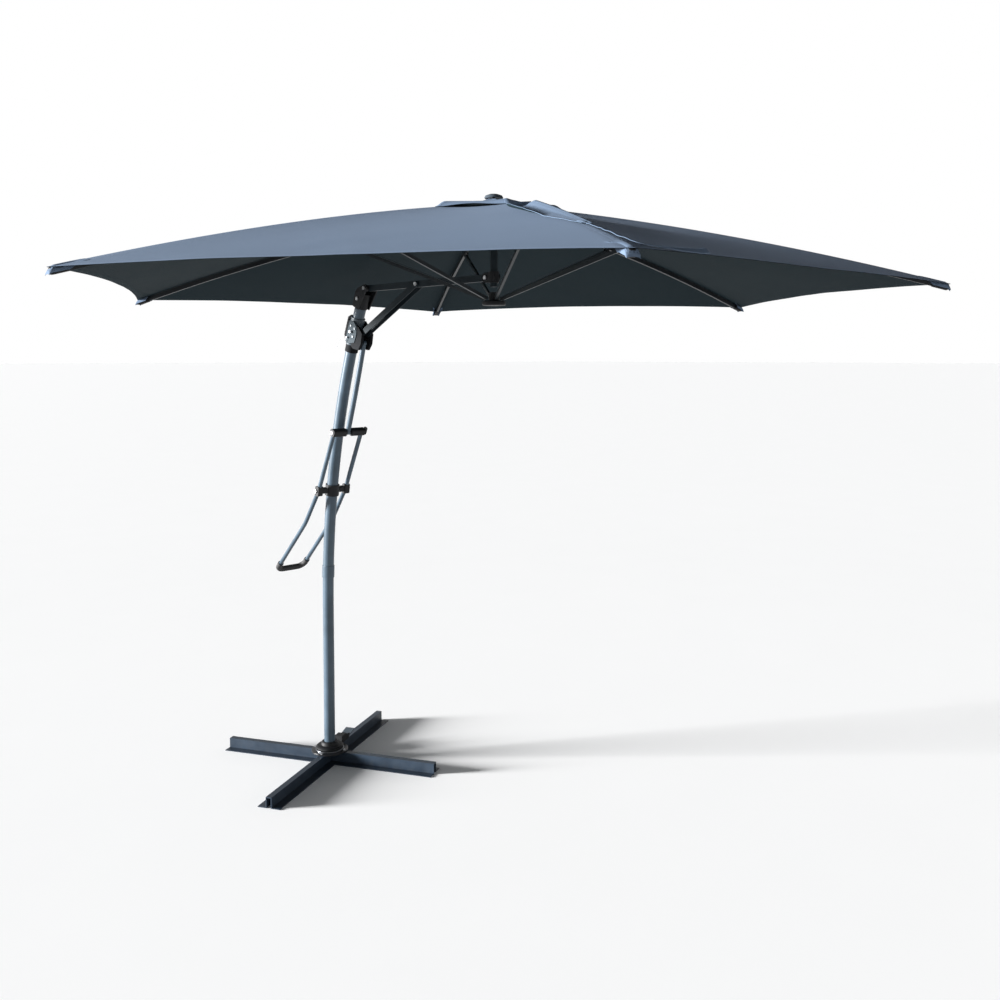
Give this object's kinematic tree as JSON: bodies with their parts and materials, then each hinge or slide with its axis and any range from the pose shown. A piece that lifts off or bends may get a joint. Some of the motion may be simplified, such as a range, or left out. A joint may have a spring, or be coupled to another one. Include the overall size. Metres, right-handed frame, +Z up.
{
  "type": "cantilever parasol",
  "caption": "Cantilever garden parasol on a cross base: a lever and push rod raise a hinged arm on a bent mast, and a six-sided fabric canopy folds with it.",
  "frame": {"origin": "on the floor, on the swivel axis of the mast, at the middle of the cross base", "axes": "+Z up, +X from the mast along the arm to the canopy, +Y across"},
  "size_m": [2.879, 2.999, 2.371],
  "materials": {
    "base_paint": "satin powder coat",
    "frame_paint": "satin powder coat",
    "rib_paint": "satin powder coat",
    "plate_paint": "satin powder coat",
    "seat_paint": "semi-gloss enamel",
    "black_plastic": "moulded, fine grain",
    "grip_foam": "matt foam rubber",
    "bright_steel": "zinc plated",
    "lanyard_wire": "stranded wire in clear sleeve",
    "canopy_fabric": "woven polyester, slate blue"
  },
  "bodies": {
    "base": {"base_bar_left": "base_paint", "base_bar_long": "base_paint", "base_bar_right": "base_paint", "tie_plate": "base_paint", "seat_disc": "seat_paint", "bearing_ring": "bright_steel", "seat_bolts": "bright_steel", "lock_housing": "black_plastic"},
    "lock_pedal": {"lock_pedal": "plate_paint"},
    "mast": {"mast_lower": "frame_paint", "mast_upper": "frame_paint", "mast_sleeve": "frame_paint", "mast_head": "black_plastic", "head_bolts": "bright_steel", "fulcrum_clamp": "black_plastic", "fulcrum_pins": "bright_steel", "seat_collar": "black_plastic"},
    "handle": {"handle_tube": "frame_paint", "handle_grip": "grip_foam", "handle_lugs": "black_plastic", "crank_blocks": "black_plastic", "crank_bolts": "bright_steel"},
    "slider": {"slider_sleeve": "frame_paint", "slider_skirt": "black_plastic", "slider_plates": "plate_paint", "slider_bolts": "bright_steel", "slider_fork": "black_plastic", "slider_grip": "black_plastic", "lock_pin": "bright_steel", "lanyard": "lanyard_wire"},
    "push_rod": {"push_rod": "frame_paint"},
    "arm": {"arm": "frame_paint", "arm_bushes": "black_plastic", "strut_bolt": "bright_steel"},
    "strut": {"strut": "frame_paint"},
    "hub": {"hub_post": "frame_paint", "hub_clevis": "black_plastic", "hub_bolt": "bright_steel", "crown": "black_plastic", "crown_pins": "bright_steel", "top_cap": "black_plastic"},
    "runner": {"runner": "black_plastic"},
    "rib_1": {"rib_1": "rib_paint", "gore_1": "canopy_fabric"},
    "stretcher_1": {"stretcher_1": "rib_paint"},
    "rib_2": {"rib_2": "rib_paint", "gore_2": "canopy_fabric"},
    "stretcher_2": {"stretcher_2": "rib_paint"},
    "rib_3": {"rib_3": "rib_paint", "gore_3": "canopy_fabric"},
    "stretcher_3": {"stretcher_3": "rib_paint"},
    "rib_4": {"rib_4": "rib_paint", "gore_4": "canopy_fabric"},
    "stretcher_4": {"stretcher_4": "rib_paint"},
    "rib_5": {"rib_5": "rib_paint", "gore_5": "canopy_fabric"},
    "stretcher_5": {"stretcher_5": "rib_paint"},
    "rib_6": {"rib_6": "rib_paint", "gore_6": "canopy_fabric"},
    "stretcher_6": {"stretcher_6": "rib_paint"}
  },
  "joints": [
    {"name": "mast_swivel", "type": "hinge", "parent": "base", "child": "mast", "pos_m": [0, 0, 0.06], "axis": [0, 0, 1], "continuous": true},
    {"name": "pedal_press", "type": "hinge", "parent": "base", "child": "lock_pedal", "pos_m": [-0.0755, 0.13077, 0.06], "axis": [-0.866, -0.5, 0], "range_deg": [0, 12]},
    {"name": "arm_fold", "type": "hinge", "parent": "mast", "child": "arm", "pos_m": [0.342, 0, 2.078], "axis": [0, 1, 0], "range_deg": [0, 85]},
    {"name": "strut_swing", "type": "hinge", "parent": "arm", "child": "strut", "pos_m": [0.677, 0, 2.078], "axis": [0, 1, 0], "range_deg": [-115.74, 0]},
    {"name": "slider_travel", "type": "hinge", "parent": "mast", "child": "slider", "pos_m": [3.2, 0, 0.7], "axis": [0, 1, 0], "range_deg": [-9.63, 0]},
    {"name": "rod_swing", "type": "hinge", "parent": "slider", "child": "push_rod", "pos_m": [0.29679, 0, 1.85414], "axis": [0, 1, 0], "range_deg": [-12.16, 0]},
    {"name": "handle_lift", "type": "hinge", "parent": "mast", "child": "handle", "pos_m": [0.042, 0, 1.217], "axis": [0, 1, 0], "range_deg": [0, 128.07]},
    {"name": "hub_level", "type": "hinge", "parent": "arm", "child": "hub", "pos_m": [1.087, 0, 2.078], "axis": [0, 1, 0], "range_deg": [-85.05, 0]},
    {"name": "rib_fold_1", "type": "hinge", "parent": "hub", "child": "rib_1", "pos_m": [1.15091, 0.019, 2.318], "axis": [-0.5, 0.866, 0], "range_deg": [0, 77.05], "deforming": ["gore_1"]},
    {"name": "stretcher_fold_1", "type": "hinge", "parent": "rib_1", "child": "stretcher_1", "pos_m": [1.62895, 0.295, 2.21221], "axis": [-0.5, 0.866, 0], "range_deg": [-144.34, 0]},
    {"name": "rib_fold_2", "type": "hinge", "parent": "hub", "child": "rib_2", "pos_m": [1.118, 0.038, 2.318], "axis": [-1, 0, 0], "range_deg": [0, 77.05], "deforming": ["gore_2"]},
    {"name": "stretcher_fold_2", "type": "hinge", "parent": "rib_2", "child": "stretcher_2", "pos_m": [1.118, 0.59, 2.21221], "axis": [-1, 0, 0], "range_deg": [-144.34, 0]},
    {"name": "rib_fold_3", "type": "hinge", "parent": "hub", "child": "rib_3", "pos_m": [1.08509, 0.019, 2.318], "axis": [-0.5, -0.866, 0], "range_deg": [0, 77.05], "deforming": ["gore_3"]},
    {"name": "stretcher_fold_3", "type": "hinge", "parent": "rib_3", "child": "stretcher_3", "pos_m": [0.60704, 0.295, 2.21221], "axis": [-0.5, -0.866, 0], "range_deg": [-144.34, 0]},
    {"name": "rib_fold_4", "type": "hinge", "parent": "hub", "child": "rib_4", "pos_m": [1.08509, -0.019, 2.318], "axis": [0.5, -0.866, 0], "range_deg": [0, 77.05], "deforming": ["gore_4"]},
    {"name": "stretcher_fold_4", "type": "hinge", "parent": "rib_4", "child": "stretcher_4", "pos_m": [0.60704, -0.295, 2.21221], "axis": [0.5, -0.866, 0], "range_deg": [-144.34, 0]},
    {"name": "rib_fold_5", "type": "hinge", "parent": "hub", "child": "rib_5", "pos_m": [1.118, -0.038, 2.318], "axis": [1, 0, 0], "range_deg": [0, 77.05], "deforming": ["gore_5"]},
    {"name": "stretcher_fold_5", "type": "hinge", "parent": "rib_5", "child": "stretcher_5", "pos_m": [1.118, -0.59, 2.21221], "axis": [1, 0, 0], "range_deg": [-144.34, 0]},
    {"name": "rib_fold_6", "type": "hinge", "parent": "hub", "child": "rib_6", "pos_m": [1.15091, -0.019, 2.318], "axis": [0.5, 0.866, 0], "range_deg": [0, 77.05], "deforming": ["gore_6"]},
    {"name": "stretcher_fold_6", "type": "hinge", "parent": "rib_6", "child": "stretcher_6", "pos_m": [1.62895, -0.295, 2.21221], "axis": [0.5, 0.866, 0], "range_deg": [-144.34, 0]},
    {"name": "runner_level", "type": "hinge", "parent": "stretcher_1", "child": "runner", "pos_m": [1.15091, 0.019, 2.004], "axis": [-0.5, 0.866, 0], "range_deg": [0, 67.33]}
  ],
  "couplings": [
    {"joint": "strut_swing", "follows": "arm_fold", "ratio": -1.3611},
    {"joint": "slider_travel", "follows": "arm_fold", "ratio": -0.11271},
    {"joint": "rod_swing", "follows": "arm_fold", "ratio": -0.14253},
    {"joint": "handle_lift", "follows": "arm_fold", "ratio": 1.5062},
    {"joint": "hub_level", "follows": "arm_fold", "ratio": -1},
    {"joint": "rib_fold_1", "follows": "arm_fold", "ratio": 0.90588},
    {"joint": "stretcher_fold_1", "follows": "arm_fold", "ratio": -1.6975},
    {"joint": "rib_fold_2", "follows": "arm_fold", "ratio": 0.90588},
    {"joint": "stretcher_fold_2", "follows": "arm_fold", "ratio": -1.6975},
    {"joint": "rib_fold_3", "follows": "arm_fold", "ratio": 0.90588},
    {"joint": "stretcher_fold_3", "follows": "arm_fold", "ratio": -1.6975},
    {"joint": "rib_fold_4", "follows": "arm_fold", "ratio": 0.90588},
    {"joint": "stretcher_fold_4", "follows": "arm_fold", "ratio": -1.6975},
    {"joint": "rib_fold_5", "follows": "arm_fold", "ratio": 0.90588},
    {"joint": "stretcher_fold_5", "follows": "arm_fold", "ratio": -1.6975},
    {"joint": "rib_fold_6", "follows": "arm_fold", "ratio": 0.90588},
    {"joint": "stretcher_fold_6", "follows": "arm_fold", "ratio": -1.6975},
    {"joint": "runner_level", "follows": "arm_fold", "ratio": 0.79159}
  ]
}
